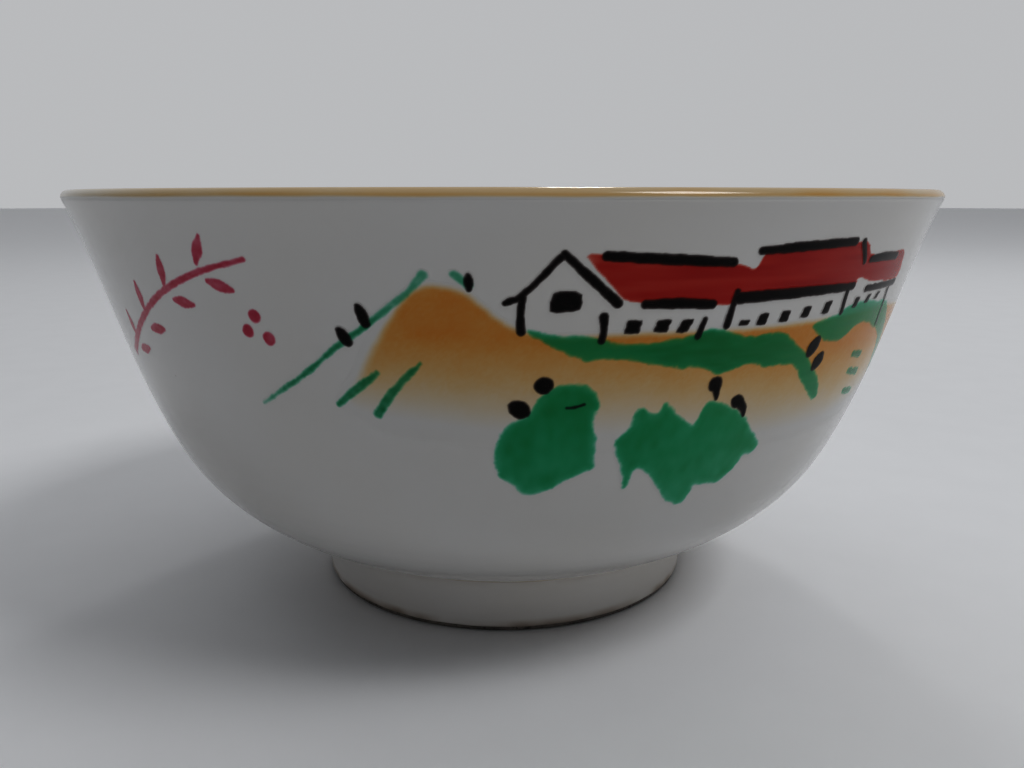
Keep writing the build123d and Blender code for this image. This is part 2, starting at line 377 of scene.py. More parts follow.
def gloss(n, rough_low, rough_high, ripple):
    """Glassy surface: roughness that varies a little and a very fine orange-peel ripple."""
    n.join(n.span(n.noise(0.009, 3), 0.3, 0.7, rough_low, rough_high), n.shader.inputs["Roughness"])
    n.bump(n.noise(0.0035, 2), ripple, 0.0002)
    n.shader.inputs["IOR"].default_value = 1.52


def glaze_material(name, white=SHADED_WHITE, warm=SHADED_WARM):
    """Bare white glaze, glossy with a faint ripple."""
    n = Nodes(name)
    n.join(glaze_colour(n, white, warm), n.shader.inputs["Base Color"])
    gloss(n, 0.10, 0.17, 0.06)
    return n.material


def paint_material(name, rough_low=0.12, rough_high=0.2, ripple=0.08, shine=0.5):
    """Glassy enamel: each point's stored tint filters the white glaze under it."""
    n = Nodes(name)
    n.shader.inputs["Specular IOR Level"].default_value = shine
    tint = n.add("ShaderNodeVertexColor", layer_name="tint")
    filtered = n.mix(1.0, glaze_colour(n), tint.outputs["Color"], "MULTIPLY")
    n.join(filtered, n.shader.inputs["Base Color"])
    gloss(n, rough_low, rough_high, ripple)
    return n.material


def clay_material(name, colour, dark):
    """Bare fired clay: matt, gritty, a little dirty."""
    n = Nodes(name)
    blotch = n.span(n.noise(0.006, 4), 0.35, 0.7)
    grit = n.span(n.noise(0.0006, 2), 0.55, 0.7)
    dirty = n.mix(blotch, colour, dark)
    gritty = n.mix(grit, dirty, tuple(0.6 * c for c in dark))
    n.join(gritty, n.shader.inputs["Base Color"])
    n.join(n.span(n.noise(0.002, 2), 0.3, 0.7, 0.75, 0.95), n.shader.inputs["Roughness"])
    n.bump(n.noise(0.0007, 3), 0.35, 0.0003)
    return n.material


# ---------------------------------------------------------------- glazed wall and floor
# The wobble dies out towards the lip, the seam and the middle of the floor, over these distances.
calm_top = bowl_height - 2
calm_low = 10
calm_run = 4
calm_floor = 30


def make_outer_glaze():
    """The coat from the seam up to the crest of the lip."""
    over_lip = np.linspace(lip_lean - 90, 90, 14)[1:]
    face = np.concatenate([outside, around_lip(glazed_lip, over_lip)])
    back = np.concatenate([sunk(outside, glaze), around_lip(glazed_lip - glaze, over_lip)])
    section = np.concatenate([face, back[::-6]])
    fade = np.clip((calm_top - face[:, 1]) / calm_run, 0, 1)
    fade = fade * np.clip((face[:, 1] - calm_low) / calm_run, 0, 1)

    def shift(turn, loop):
        loop[: len(face), 0] += fade * wall_wobble(turn, face[:, 1])
        return loop

    thing = lathe("outer_glaze_coat", section, 300, shift)
    sharpen(thing, 50)
    return finish_piece(thing, "outer_glaze", glaze_material("shaded_white_outer_glaze"))


def make_inner_glaze():
    """The coat from the crest of the lip down to the middle of the floor."""
    over_lip = np.linspace(90, lip_lean + 90, 10)[:-1]
    face = np.concatenate([around_lip(glazed_lip, over_lip), inside])
    back = np.concatenate([around_lip(glazed_lip - glaze, over_lip), sunk(inside, glaze)])
    face[-1, 0] = back[-1, 0] = 0
    section = np.concatenate([face, back[::-6]])
    fade = np.clip((calm_top - face[:, 1]) / calm_run, 0, 1)
    fade = fade * np.clip(face[:, 0] / calm_floor, 0, 1)

    def shift(turn, loop):
        loop[: len(face), 0] -= fade * wall_wobble(turn + 1.3, face[:, 1])
        return loop

    thing = lathe("inner_glaze_coat", section, 288, shift)
    sharpen(thing, 50)
    material = glaze_material("white_inner_glaze", INNER_WHITE, INNER_WARM)
    return finish_piece(thing, "inner_glaze", material)


make_outer_glaze()
make_inner_glaze()

# ---------------------------------------------------------------- painted colours: shapes
# On the wall a place becomes (millimetres along the wall, height), so widths are true there.
PAINT_RADIUS = 68.0


def on_wall(points):
    """(angle, height, ...) rows turned into (millimetres along the wall, height, ...)."""
    rows = np.array(points, float)
    rows[:, 0] = np.radians(rows[:, 0]) * PAINT_RADIUS
    return rows


def rounded(rows, closed, per_span):
    """Smooth curve through some rows of numbers, per_span points from each row to the next."""
    count = len(rows)
    curve = []
    for i in range(count if closed else count - 1):
        if closed:
            a, b, c, d = (rows[(i + k) % count] for k in (-1, 0, 1, 2))
        else:
            a, b, c, d = (rows[min(max(i + k, 0), count - 1)] for k in (-1, 0, 1, 2))
        for t in np.arange(per_span) / per_span:
            bend = 2 * a - 5 * b + 4 * c - d + t * (3 * b - a - 3 * c + d)
            curve.append(b + 0.5 * t * (c - a + t * bend))
    if not closed:
        curve.append(rows[-1])
    return np.array(curve)


def nearest_on(u, v, x1, y1, x2, y2):
    """(distance to a segment, share of the way along it)."""
    dx, dy = x2 - x1, y2 - y1
    t = np.clip(((u - x1) * dx + (v - y1) * dy) / max(dx * dx + dy * dy, 1e-12), 0, 1)
    return np.hypot(u - x1 - t * dx, v - y1 - t * dy), t


class Blob:
    """Closed outline filled with colour."""

    def __init__(self, points, per_span=5):
        self.loop = rounded(on_wall(points), True, per_span)
        self.low, self.high = self.loop.min(axis=0), self.loop.max(axis=0)

    def distance(self, u, v):
        """Millimetres to the outline, negative inside."""
        near = np.full(u.shape, 1e6)
        inside = np.zeros(u.shape, bool)
        for (x1, y1), (x2, y2) in zip(self.loop, np.roll(self.loop, -1, axis=0)):
            near = np.minimum(near, nearest_on(u, v, x1, y1, x2, y2)[0])
            if y1 != y2:
                inside ^= ((y1 > v) != (y2 > v)) & (u < x1 + (v - y1) / (y2 - y1) * (x2 - x1))
        return np.where(inside, -near, near)


class Stroke:
    """One pull of the brush through (angle, height, width) points."""

    def __init__(self, *points):
        rows = on_wall(points)
        self.line = rounded(rows, False, 4) if len(rows) > 2 else rows
        reach = self.line[:, 2:].max() / 2
        self.low = self.line[:, :2].min(axis=0) - reach
        self.high = self.line[:, :2].max(axis=0) + reach

    def distance(self, u, v):
        """Millimetres to the stroke's edge, negative inside."""
        near = np.full(u.shape, 1e6)
        for (x1, y1, w1), (x2, y2, w2) in zip(self.line, self.line[1:]):
            apart, t = nearest_on(u, v, x1, y1, x2, y2)
            near = np.minimum(near, apart - (w1 + t * (w2 - w1)) / 2)
        return near


def dab(place, length, width, slant, heel=0.62, tip=0.62):
    """A short touch of the brush, an oval that may be narrower at either end."""
    angle, height = place
    reach = length / 2 - width * 0.3
    across = math.degrees(reach * math.cos(math.radians(slant)) / PAINT_RADIUS)
    up = reach * math.sin(math.radians(slant))
    return Stroke(
        (angle - across, height - up, width * heel),
        (angle, height, width),
        (angle + across, height + up, width * tip),
    )


def step_between(low, high, x):
    """0 at low, 1 at high, smooth between."""
    t = np.clip((x - low) / (high - low), 0, 1)
    return t * t * (3 - 2 * t)


class Layer:
    """One painted colour: its shapes, its filter colour and how it was laid on.

    In millimetres: soft is the width of the faded edge, step the mesh's spacing, ragged how far the
    edge frays, grain the streaks' size, lift the height of the edge above the glaze, thick how much
    higher its middle lies, and grow how far the outline is let out. uneven is the streaks' depth and
    hides the share of the colours below that full paint covers."""

    def __init__(self, node, shapes, colour, soft, step, ragged=0.1, grain=(0.8, 0.8), uneven=0.15,
                 strength=None, hides=0.85, lift=0.03, thick=0.02, grow=0.0):
        self.node, self.shapes, self.colour = node, shapes, colour
        self.soft, self.step, self.ragged, self.grain = soft, step, ragged, grain
        self.uneven, self.strength, self.hides = uneven, strength, hides
        self.lift, self.thick, self.grow = lift, thick, grow
        self.seed = len(node) + 3 * ord(node[0])

    def distance(self, u, v):
        """Millimetres to the nearest outline with its ragged edge, negative inside."""
        near = np.full(u.shape, 9.0)
        for shape in self.shapes:
            low, high = shape.low - 1.2, shape.high + 1.2
            close = (u > low[0]) & (u < high[0]) & (v > low[1]) & (v < high[1])
            if close.any():
                near[close] = np.minimum(near[close], shape.distance(u[close], v[close]))
        frayed = cloud(u / 0.9, v / 0.9, self.seed) + 0.5 * cloud(u / 0.35, v / 0.35, self.seed + 1)
        return near - self.grow + self.ragged * frayed

    def density(self, u, v):
        """How much colour lies at a place: 0 none, 1 full."""
        near = self.distance(u, v)
        cover = step_between(self.soft / 2, -self.soft / 2, near)
        streaks = cloud(u / self.grain[0], v / self.grain[1], self.seed + 2)
        streaks += 0.5 * cloud(2.1 * u / self.grain[0], 2.1 * v / self.grain[1], self.seed + 3)
        amount = cover * (1 + self.uneven * streaks)
        if self.strength:
            amount = amount * self.strength(u, v, -near)
        return np.clip(amount, 0, 1.6)


# ---------------------------------------------------------------- painted colours: the hill
hill_crest = [
    (-17.3, 47.0), (-15.7, 49.5), (-14.5, 52), (-12.2, 56), (-10, 59), (-8.5, 60.7), (-7, 61.4),
    (-5.5, 61.3), (-3.8, 60.7), (-2, 59), (0, 57), (2.5, 55.8), (6, 55.3), (14, 55.5), (25, 55.3),
    (36, 55.5), (46, 56), (56, 55.5), (68, 54), (82, 50), (89, 46),
]
hill_foot = [(82, 42), (60, 39.5), (40, 38.5), (22, 39.5), (6, 41), (-6, 42), (-14, 43.6)]
# Heights where the wash is gone and where it is full, at some angles.
fade_angles = (-17, 0, 15, 30, 45, 60, 88)
fade_none = (45.5, 43, 42, 40, 39.5, 41, 44)
fade_full = (56, 55.5, 54.5, 52.5, 51.5, 52, 53)


def wash_strength(u, v, depth):
    """The wash is sprayed: deep along the crest, fading away downhill and round the side."""
    angle = np.degrees(u / PAINT_RADIUS)
    none = np.interp(angle, fade_angles, fade_none)
    full = np.interp(angle, fade_angles, fade_full)
    rise = np.clip((v - none) / (full - none), 0, 1)
    body = 0.26 * rise + 0.74 * rise**1.5
    crisp = 0.9 * step_between(-12.5, -8, angle)
    left_edge = step_between(0.0, 1.6, depth + crisp)
    spray = 0.92 + 0.08 * cloud(u / 0.3, v / 0.3, 41) + 0.05 * cloud(u / 3.5, v / 2.2, 42)
    return body * left_edge * spray * np.clip((89 - angle) / 32, 0, 1)


def green_strength(u, v, depth):
    """Bush enamel pools darker in patches and thins out towards its edge and its foot."""
    pools = 0.10 * cloud(u / 3.2, v / 2.6, 51) + 0.07 * cloud(u / 1.1, v / 1.4, 52)
    return (0.78 + 0.22 * step_between(0, 1.2, depth)) * (1.02 + pools + 0.022 * (v - 41))


def grass_strength(u, v, depth):
    """Grass strokes run dry: pale at the long one's foot and at the hill's crest."""
    angle = np.degrees(u / PAINT_RADIUS)
    foot = np.clip((angle + 30) / 7, 0.35, 1)
    crest = 1 - 0.4 * step_between(56.5, 58.5, v)
    dry = 0.92 + 0.10 * cloud(u / 0.5, v / 0.5, 55)
    return dry * foot * crest


def bank_strength(u, v, depth):
    """The bank is darkest in its middle and thins out at its right end."""
    angle = np.degrees(u / PAINT_RADIUS)
    middle = np.exp(-(((angle - 22) / 12) ** 2))
    return (0.86 + 0.26 * middle) * (0.82 + 0.18 * step_between(0, 0.8, depth))


def red_strength(u, v, depth):
    """Roof enamel: streaks along the roof, thin and orange at its two ends."""
    angle = np.degrees(u / PAINT_RADIUS)
    ends = np.clip((angle - 6.3) / 2.2, 0.35, 1) * np.clip((53.5 - angle) / 2.5, 0.35, 1)
    streaks = 0.16 * cloud(u / 6, v / 0.7, 61)
    return ends * (0.82 + 0.010 * (angle - 10) + streaks)


def black_strength(u, v, depth):
    """Black pools in the middle of a stroke and is brown where it runs thin."""
    return 0.62 + 0.48 * step_between(0.05, 0.4, depth)


# ---------------------------------------------------------------- painted colours: outlines
# The enamels' filter colours, then their outlines in (angle, height) and strokes in (angle, height,
# width).
OCHRE = (0.93, 0.385, 0.07)
BUSH_GREEN = (0.023, 0.47, 0.20)
BANK_GREEN = (0.016, 0.40, 0.165)
STROKE_GREEN = (0.03, 0.36, 0.17)
ROOF_RED = (0.60, 0.018, 0.010)
CRIMSON = (0.70, 0.09, 0.16)
BLACK = (0.012, 0.009, 0.009)
BLACK_SHINE = 0.14
COLOUR_SHINE = 0.22

bank = [
    (2.2, 56.2), (4.5, 55.6), (6, 55.3), (7.5, 55.4), (9, 55), (10.5, 54.4), (12, 54.2), (14.5, 54.1),
    (17, 54.6), (19, 54.9), (21, 55.6), (22.5, 55.2), (24, 54.7), (26, 54.2), (28.5, 54.4), (30, 54.3),
    (32, 53.4), (33.5, 52.2), (35.5, 50.8), (37, 49.3), (39.5, 47), (41, 44.8), (41.2, 43.8),
    (40.2, 43.8), (38, 45.6), (36, 47.4), (34.5, 49.2), (33, 50), (29.5, 50), (27, 50.7), (25, 50.3),
    (23, 49.7), (21.5, 50.6), (20, 51), (18, 51), (15, 51.7), (12, 52.3), (9.5, 52.6), (8.2, 52.4),
    (7, 52.9), (5, 54), (3, 55.3),
]
far_bank = [
    (35.2, 54.8), (37, 55.5), (39.5, 56.1), (41.5, 56.9), (44, 57.2), (46, 57.1), (49, 56.6),
    (51, 56.6), (53.5, 55.6), (57, 52.5), (60, 49), (62.5, 45), (62.3, 43.6), (60, 45.6), (57, 49.5),
    (54, 51.8), (51, 52.8), (49, 53.7), (46.5, 54.2), (44.5, 53.9), (43, 52.9), (41.5, 52.2),
    (39, 52.3), (37.5, 53), (36, 54),
]
left_bush = [
    (4.2, 48.4), (5.5, 49.2), (7, 49.4), (8.3, 49), (9.5, 47.8), (9.8, 46.4), (9.3, 44.8), (9.5, 43.2),
    (9.9, 41.5), (9.9, 39), (9.9, 37.6), (8.4, 36.8), (6.8, 35.7), (4.8, 34.5), (3.2, 34), (2, 34),
    (1, 35.5), (-0.4, 36.6), (-1, 38.5), (-1, 40.5), (-0.4, 42.5), (0.6, 44.3), (2, 45), (3, 46.3),
    (3.6, 47.6),
]
right_bush = [
    (12.2, 41.3), (13.5, 43), (14, 45), (14.8, 45.8), (15.6, 45), (16.5, 44.8), (17.2, 46.2),
    (18, 45.6), (19, 44.5), (20.3, 43.2), (21.3, 42.7), (21.8, 43.6), (22.3, 45.4), (23.2, 46),
    (24.6, 45.3), (26.5, 44.4), (28.2, 43.1), (29, 42.4), (30, 41), (31.3, 39.8), (32.5, 38.2),
    (32, 37), (30.6, 36.8), (30, 35.4), (29, 33.8), (27.5, 33), (25.5, 33.1), (24.2, 33.2), (24, 32),
    (23.2, 30.4), (21.8, 30.6), (20, 32), (18.6, 34), (17.2, 36), (15.7, 37), (14.9, 36.4),
    (14.6, 34.5), (14.2, 34.1), (13.9, 35.5), (13.4, 37.5), (12.6, 39.5),
]
roofs = [
    (7.2, 64.7), (9, 64.9), (16, 64.2), (22, 63.5), (23.8, 62.8), (24.5, 63.3), (24.9, 64.6), (26, 65.2),
    (37.8, 65.5), (39.2, 65.7), (40.5, 65), (41.3, 63.9), (44, 63.6), (48, 63.9), (50.5, 63.9), (52, 62.3),
    (52.5, 60), (47, 60), (43.5, 60.2), (41.5, 60.8), (40.3, 60.6), (40, 59.9), (31, 59.7), (23.5, 59.4),
    (22.6, 58.7), (21, 58.7), (17, 59), (12.6, 59.4), (11, 59.9), (9.5, 61.7),
]
grass = [
    Stroke((-27.7, 45.2, 0.25), (-24, 47.8, 0.4), (-20.5, 50.4, 0.5), (-16.5, 54, 0.45),
           (-13.5, 56.4, 0.55), (-10.8, 58.8, 0.5), (-8.9, 60.6, 0.6), (-7.3, 62.7, 0.95)),
    Stroke((-4.5, 62.8, 0.7), (-3.2, 61.6, 0.95)),
    Stroke((-17.8, 46.1, 0.5), (-15.5, 48.3, 0.95), (-12.9, 50.6, 0.5)),
    Stroke((-13.4, 45.2, 0.95), (-11.5, 48.2, 0.8), (-8.3, 52, 0.3)),
    Stroke((47.3, 49.2, 0.8), (50, 48.8, 0.9)),
    Stroke((48, 46.5, 0.8), (51.8, 45.7, 0.9)),
    Stroke((49.6, 43.1, 0.8), (53, 42.4, 0.8)),
]
roof_lines = [
    Stroke((9, 64.8, 0.95), (15, 64.3, 1.1), (21.5, 63.8, 0.95)),
    Stroke((13.2, 59.1, 0.9), (16.5, 59.1, 1.15), (20.3, 58.8, 0.9)),
    Stroke((24.4, 65.0, 0.8), (30, 65.4, 1.05), (37.3, 65.7, 0.95)),
    Stroke((23.2, 59.4, 1.3), (31, 59.6, 1.2), (40.1, 59.7, 0.9)),
    Stroke((41.8, 63.2, 0.8), (45, 63.4, 1.0), (48.5, 63.3, 0.9)),
    Stroke((43.5, 59.1, 0.8), (52, 59.3, 0.8)),
]
house = [
    Stroke((0.0, 59.5, 0.45), (0.6, 59.8, 0.75), (1.7, 60.5, 0.6), (4.9, 64.7, 0.7)),
    Stroke((5.2, 65.1, 0.7), (7.5, 62.5, 1.0), (10.5, 59.3, 1.05)),
    Stroke((1.6, 60.3, 0.8), (1.45, 58, 0.75), (1.5, 56.1, 1.0)),
    Stroke((9.3, 57.7, 0.95), (9.4, 56, 0.7), (9.3, 54.8, 0.85)),
    Stroke((19.8, 57, 0.6), (19.4, 54.9, 0.75)),
    Stroke((22.8, 60.2, 0.7), (22.5, 56, 0.9)),
    Stroke((39.3, 59.5, 0.7), (39.6, 56.3, 0.8)),
    Stroke((38.9, 65.6, 0.9), (40.6, 62.9, 0.6)),
    Stroke((50.5, 58.5, 0.6), (51.5, 53.2, 0.7)),
]
gable_window = [(4.2, 58.5), (5.6, 58.4), (6.9, 58.7), (7.0, 60.4), (5.7, 60.9), (4.4, 60.5)]
# (angle, height, width, height of the touch, lean to the right)
panes = [
    (12.3, 56.4, 1.65, 1.5, 0.12), (15.3, 56.4, 1.6, 1.4, 0.18), (17.7, 56.3, 1.3, 1.5, 0.3),
    (26.9, 56.5, 1.3, 1.3, 0.08), (29.9, 56.6, 1.35, 1.35, 0.1), (33, 56.9, 1.3, 1.3, 0.1),
    (36.4, 57.2, 1.25, 1.5, 0.15), (24.6, 56.2, 1.2, 0.55, 0.1), (42.2, 57.3, 1.1, 1.3, 0.2),
    (44.9, 57.6, 1.0, 1.1, 0.3), (47.4, 57.8, 1.0, 0.9, 0.3),
]


def pane(angle, height, width, tall, lean):
    """One small window: a near square touch of the brush."""
    across = math.degrees(width / 2 / PAINT_RADIUS)
    shift = math.degrees(lean / PAINT_RADIUS)
    low, high = height - tall / 2, height + tall / 2
    return Blob([
        (angle - across - shift, low), (angle + across - shift, low), (angle + across, height),
        (angle + across + shift, high), (angle - across + shift, high), (angle - across, height),
    ], 2)


marks = [
    dab((3.9, 49.3), 2.2, 2.0, 20),
    dab((1.5, 46.2), 2.8, 2.2, -30),
    dab((22.9, 48.3), 1.9, 1.9, -50),
    Stroke((23.1, 47.9, 1.4), (23.5, 46.2, 0.3)),
    dab((26.6, 45.4), 2.2, 1.7, -30),
    Stroke((27, 45.2, 1.4), (27.9, 44.2, 1.0), (28.2, 43.2, 0.4)),
    dab((-13.5, 57.9), 2.9, 1.3, 107, 0.8, 0.45),
    dab((-15.8, 55.2), 2.4, 1.4, -60, 0.5, 0.8),
    dab((-3.2, 61.9), 2.1, 0.8, 90),
    dab((36.4, 51.8), 3.0, 2.1, 62),
    dab((38.3, 49.5), 2.7, 2.0, 56),
    Stroke((6.4, 46.3, 0.12), (7.3, 46.4, 0.3), (8.2, 46.7, 0.1)),
]

# A plain berried twig on the left: (place, slant) of its leaves, and places of its berries.
leaves = [
    ((-51, 53.2), 95), ((-49.5, 49.8), 10), ((-44.5, 58), 85), ((-43, 53.6), 5), ((-37.5, 62), 75),
    ((-35.5, 58), -5), ((-30.5, 65), 60), ((-29, 60.6), -15),
]
berries = [(-27, 55), (-24.5, 54.2), (-25.6, 57)]
twig = [Stroke((-55, 48.5, 0.9), (-48, 53.5, 0.75), (-40, 58.5, 0.65), (-32, 62, 0.6), (-25, 64, 0.4))]
twig += [dab(place, 4.6, 1.35, slant, 0.3, 0.25) for place, slant in leaves]
twig += [dab(place, 1.5, 1.5, 30) for place in berries]

# From the first laid to the last.
layers = [
    Layer("hill_wash", [Blob(hill_crest + hill_foot, 3)], OCHRE, 1.2, 0.32, 0.06, (2.5, 2.0), 0.05,
          wash_strength, lift=0.015, thick=0.01),
    Layer("grass_bank", [Blob(bank, 4), Blob(far_bank, 4)], BANK_GREEN, 0.55, 0.2, 0.14, (3.0, 0.8),
          0.10, bank_strength, grow=0.05),
    Layer("left_bush", [Blob(left_bush, 4)], BUSH_GREEN, 0.6, 0.2, 0.16, (1.2, 2.2), 0.06,
          green_strength),
    Layer("right_bush", [Blob(right_bush, 4)], BUSH_GREEN, 0.6, 0.2, 0.16, (1.2, 2.2), 0.06,
          green_strength),
    Layer("roofs", [Blob(roofs, 2)], ROOF_RED, 0.36, 0.2, 0.08, (5.0, 0.6), 0.06,
          red_strength, lift=0.015),
    Layer("grass_strokes", grass, STROKE_GREEN, 0.5, 0.14, 0.10, (1.0, 0.7), 0.14,
          grass_strength, hides=0.6, grow=0.04),
    Layer("roof_strokes", roof_lines, BLACK, 0.24, 0.15, 0.06, (2.0, 0.4), 0.08,
          black_strength, hides=0.95, lift=0.06, thick=0.03, grow=0.09),
    Layer("house_lines", house, BLACK, 0.24, 0.14, 0.06, (0.6, 1.2), 0.12,
          black_strength, hides=0.95, lift=0.06, thick=0.03, grow=0.06),
    Layer("windows", [Blob(gable_window, 2)] + [pane(*p) for p in panes], BLACK, 0.24, 0.14, 0.06,
          (0.6, 0.6), 0.08, black_strength, hides=0.95, lift=0.06, thick=0.03, grow=0.03),
    Layer("dark_marks", marks, BLACK, 0.28, 0.14, 0.08, (0.7, 0.7), 0.10,
          black_strength, hides=0.95, lift=0.06, thick=0.03, grow=0.08),
    Layer("red_sprig", twig, CRIMSON, 0.34, 0.15, 0.07, (1.2, 0.8), 0.22,
          lift=0.012, thick=0.02, grow=0.08),
]


# ---------------------------------------------------------------- painted colours: meshes
# An enamel's back is sunk this far into the glaze.
ENAMEL_ROOT = 0.06


def on_surface(u, v, above):
    """Points in metres some millimetres above the glazed wall."""
    turn = u / PAINT_RADIUS
    out, up = wall_normal(v)
    radius = wall_radius(v) + wall_wobble(turn, v) + out * above
    return np.column_stack([radius * np.sin(turn), -radius * np.cos(turn), v + up * above]) * MM


def snapped(layer, u, v):
    """Moves points just outside a colour's faded edge onto it."""
    rise, limit = 0.03, 1.3 * layer.step
    start_u, start_v = u.copy(), v.copy()
    for _ in range(3):
        here = layer.distance(u, v) - layer.soft / 2
        gu = (layer.distance(u + rise, v) - layer.soft / 2 - here) / rise
        gv = (layer.distance(u, v + rise) - layer.soft / 2 - here) / rise
        steep = np.maximum(gu * gu + gv * gv, 0.3)
        u = start_u + np.clip(u - here * gu / steep - start_u, -limit, limit)
        v = start_v + np.clip(v - here * gv / steep - start_v, -limit, limit)
    return u, v


def covered_cells(inside):
    """Grid cells with a corner inside, joined up wherever two would touch at a corner only."""
    cells = inside[:-1, :-1] | inside[1:, :-1] | inside[:-1, 1:] | inside[1:, 1:]
    for _ in range(4):
        a, b, c, d = cells[:-1, :-1], cells[1:, :-1], cells[:-1, 1:], cells[1:, 1:]
        one, two = a & d & ~b & ~c, b & c & ~a & ~d
        if not (one.any() or two.any()):
            break
        cells[1:, :-1] |= one
        cells[:-1, :-1] |= two
    return cells


def patch(layer):
    """One colour's grid: its points' places (u, v), its cells, and the point numbers of its nodes."""
    margin = 3 * layer.step + layer.soft
    low = np.min([s.low for s in layer.shapes], axis=0) - margin
    high = np.max([s.high for s in layer.shapes], axis=0) + margin
    along = np.arange(low[0], high[0], layer.step)
    upwards = np.arange(low[1], high[1], layer.step)
    grid_u, grid_v = np.meshgrid(along, upwards, indexing="ij")
    inside = layer.distance(grid_u, grid_v) < layer.soft / 2
    cells = covered_cells(inside)
    used = np.zeros(grid_u.shape, bool)
    for i, j in ((0, 0), (1, 0), (0, 1), (1, 1)):
        used[i:used.shape[0] - 1 + i, j:used.shape[1] - 1 + j] |= cells
    number = np.full(grid_u.shape, -1)
    number[used] = np.arange(used.sum())
    u, v, outside_now = grid_u[used], grid_v[used], ~inside[used]
    u[outside_now], v[outside_now] = snapped(layer, u[outside_now], v[outside_now])
    return u, v, cells, number


def closed_faces(cells, number):
    """Faces of the top, the back and the rim, and how many of them aren't rim. The back's points
    come after the top's, in the same order."""
    count = number.max() + 1
    i, j = np.nonzero(cells)
    a, b, c, d = number[i, j], number[i + 1, j], number[i + 1, j + 1], number[i, j + 1]
    top = np.column_stack([a, b, c, d])
    faces = [top, top[:, ::-1] + count]
    padded = np.pad(cells, 1)
    for di, dj, first, second in ((0, -1, a, b), (1, 0, b, c), (0, 1, c, d), (-1, 0, d, a)):
        rim = ~padded[i + 1 + di, j + 1 + dj]
        first, second = first[rim], second[rim]
        faces.append(np.column_stack([second, first, first + count, second + count]))
    return np.concatenate(faces), 2 * len(top)


def light_through(index, u, v):
    """The share of light that a colour and all those under it let through."""
    tint = np.ones((len(u), 3))
    for laid in layers[:index + 1]:
        amount = laid.density(u, v)[:, None]
        tint = tint ** (1 - laid.hides * np.clip(amount, 0, 1)) * np.array(laid.colour) ** amount
    return tint


def paint(index):
    """Closed thin mesh of one colour."""
    layer = layers[index]
    u, v, cells, number = patch(layer)
    depth = -layer.distance(u, v) + layer.soft / 2
    above = layer.lift + layer.thick * step_between(0, 0.5, depth)
    root = np.full(u.shape, -ENAMEL_ROOT)
    points = np.concatenate([on_surface(u, v, above), on_surface(u, v, root)])
    faces, skin = closed_faces(cells, number)
    thing = new_object(layer.node + "_enamel", points, faces.tolist())
    tint = light_through(index, u, v)
    store_tint(thing.data, np.concatenate([tint, tint]))
    thing.data.polygons.foreach_set("use_smooth", np.arange(len(thing.data.polygons)) < skin)
    sharpen(thing, 60)
    shine = BLACK_SHINE if layer.colour is BLACK else COLOUR_SHINE
    return finish_piece(thing, layer.node, paint_material(layer.node + "_gloss", shine=shine))


for index in range(len(layers)):
    paint(index)

# ---------------------------------------------------------------- lip line, foot and clay
def stain(thing, rule):
    """Stores rule(turn, radius, height) as the tint of every point of a lathe-turned piece."""
    count = len(thing.data.vertices)
    where = np.empty(3 * count)
    thing.data.vertices.foreach_get("co", where)
    x, y, z = where.reshape(-1, 3).T / MM
    store_tint(thing.data, rule(np.arctan2(x, -y), np.hypot(x, y), z))


def round_cloud(turn, along, across, height, seed):
    """Cloud that closes up round the bowl: blotches about along by across millimetres."""
    shift = PAINT_RADIUS / along
    return cloud(shift * np.cos(turn) + height / across, shift * np.sin(turn) - height / across, seed)


LIP_END = lip_lean + 90


def make_lip_line():
    """The ochre line over the lip, thin at both edges, paler on the left."""
    angles = np.concatenate([np.arange(0, 60, 3.0), np.arange(60, LIP_END, 7.0), [LIP_END]])
    bulge = line_thick * np.clip(np.minimum(angles + 4, LIP_END + 4 - angles) / 16, 0.25, 1)
    back = around_lip(glazed_lip - 0.1, angles[::-3])
    section = np.concatenate([around_lip(glazed_lip, angles), back])

    def shift(turn, loop):
        uneven = 1 + 0.12 * wobble(fine_waves, turn)
        reach = (glazed_lip + bulge * min(uneven, 1.0))[:, None]
        outwards = np.column_stack([np.cos(np.radians(angles)), np.sin(np.radians(angles))])
        loop[: len(angles)] = np.array(lip_middle) + reach * outwards
        return loop

    def ochre(turn, radius, height):
        angle = np.degrees(np.arctan2(height - lip_middle[1], radius - lip_middle[0]))
        edge = 3 + 3 * round_cloud(turn, 9, 9, 0, 71) + 1.5 * round_cloud(turn, 2.5, 9, 0, 72)
        pale = step_between(0.25, 0.98, -np.sin(turn))
        band = step_between(0, 18, angle - edge) * (0.34 + 0.08 * round_cloud(turn, 5, 9, 0, 73))
        patches = 0.8 + 0.5 * round_cloud(turn, 6, 9, 0, 74)
        dark = 0.16 * np.exp(-(((angle - edge - 20) / 9) ** 2)) * patches
        inner = step_between(LIP_END, LIP_END - 22, angle)
        return np.array(OCHRE) ** ((band + dark) * inner * (1 - 0.85 * pale))[:, None]

    thing = lathe("lip_line_enamel", section, 420, shift)
    stain(thing, ochre)
    sharpen(thing, 50)
    return finish_piece(thing, "lip_line", paint_material("lip_ochre_gloss"))


def turned(name, section, steps, rough=0.0, crisp=40):
    """Lathe-turned piece with a slight wobble of its radius."""
    def shift(turn, loop):
        loop[:, 0] += rough * wobble(fine_waves, turn + 0.4) * (loop[:, 0] > 1)
        return loop

    thing = lathe(name, section, steps, shift)
    sharpen(thing, crisp)
    return thing


# Tints of the foot's glaze, whiter than the wall as painted light and greyed where it ends, near the
# standing face partly by wear and partly as painted contact shadow; and the tints of the seam's slip.
FOOT_LIT_WHITE = (1.30, 1.28, 1.26)
FOOT_WEAR_AND_SHADE = (0.62, 0.56, 0.51)
SEAM_BROWN = (0.72, 0.45, 0.22)
SEAM_WHITE = (1.04, 1.03, 1.01)


